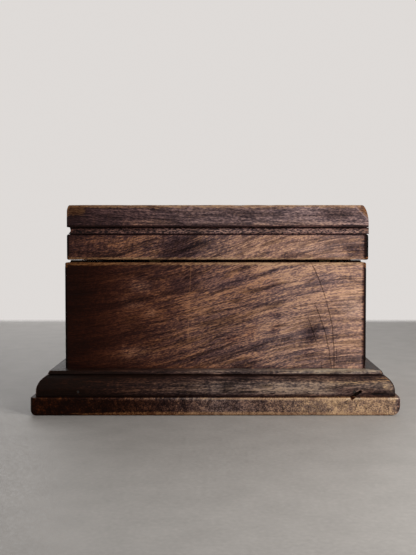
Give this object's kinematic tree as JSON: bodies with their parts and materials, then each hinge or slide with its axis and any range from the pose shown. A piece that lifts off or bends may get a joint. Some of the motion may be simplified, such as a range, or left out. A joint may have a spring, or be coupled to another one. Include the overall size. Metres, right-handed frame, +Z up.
{
  "type": "wooden puzzle box",
  "caption": "Dark wooden puzzle box on a moulded plinth, with a hinged lid, a hidden sliding lock strip in the lid and a secret drawer behind the front moulding.",
  "frame": {"origin": "underside of the base board, in the middle of its outline", "axes": "+X to the right along the front, -Y out of the front face, +Z up"},
  "size_m": [0.2004, 0.1504, 0.1142],
  "materials": {
    "walnut": "dark stain, satin, worn",
    "inner_wood": "bare, smooth",
    "brass": "dull, aged",
    "steel": "dull, aged",
    "leather": "matt"
  },
  "bodies": {
    "case": {"base_board": "walnut", "plinth_moulding_left": "walnut", "plinth_moulding_right": "walnut", "plinth_moulding_back": "walnut", "moulding_brads": "steel", "front_wall": "walnut", "back_wall": "walnut", "left_wall": "walnut", "right_wall": "walnut", "false_bottom": "inner_wood", "drawer_stop_peg": "inner_wood", "keeper_left": "brass", "keeper_right": "brass", "keeper_screws": "steel", "hinge_body_leaf_left": "brass", "hinge_body_leaf_right": "brass", "hinge_pin_left": "steel", "hinge_pin_right": "steel", "hinge_screws_body": "steel", "rim_bumpers": "leather"},
    "lid": {"lid_top": "walnut", "lid_rail_front": "walnut", "lid_rail_back": "walnut", "lid_rail_left": "walnut", "lid_rail_right": "walnut", "cove_strip_left": "walnut", "cove_strip_right": "walnut", "cove_strip_back": "walnut", "hinge_lid_leaf_left": "brass", "hinge_lid_leaf_right": "brass", "hinge_screws_lid": "steel"},
    "lock_slide": {"front_cove_strip": "walnut", "lock_bar": "inner_wood", "lock_hook_left": "brass", "lock_hook_right": "brass", "hook_screws": "steel"},
    "plinth_drawer": {"plinth_moulding_front": "walnut", "drawer_front_brads": "steel", "drawer_side_left": "inner_wood", "drawer_side_right": "inner_wood", "drawer_back": "inner_wood", "drawer_bottom": "inner_wood"}
  },
  "joints": [
    {"name": "lid_hinge", "type": "hinge", "parent": "case", "child": "lid", "pos_m": [0, 0.06075, 0.083], "axis": [-1, 0, 0], "range_deg": [0, 95]},
    {"name": "lock_slide_travel", "type": "slide", "parent": "lid", "child": "lock_slide", "axis": [-1, 0, 0], "range_m": [0, 0.004]},
    {"name": "drawer_slide", "type": "slide", "parent": "case", "child": "plinth_drawer", "axis": [0, -1, 0], "range_m": [0, 0.075]}
  ]
}
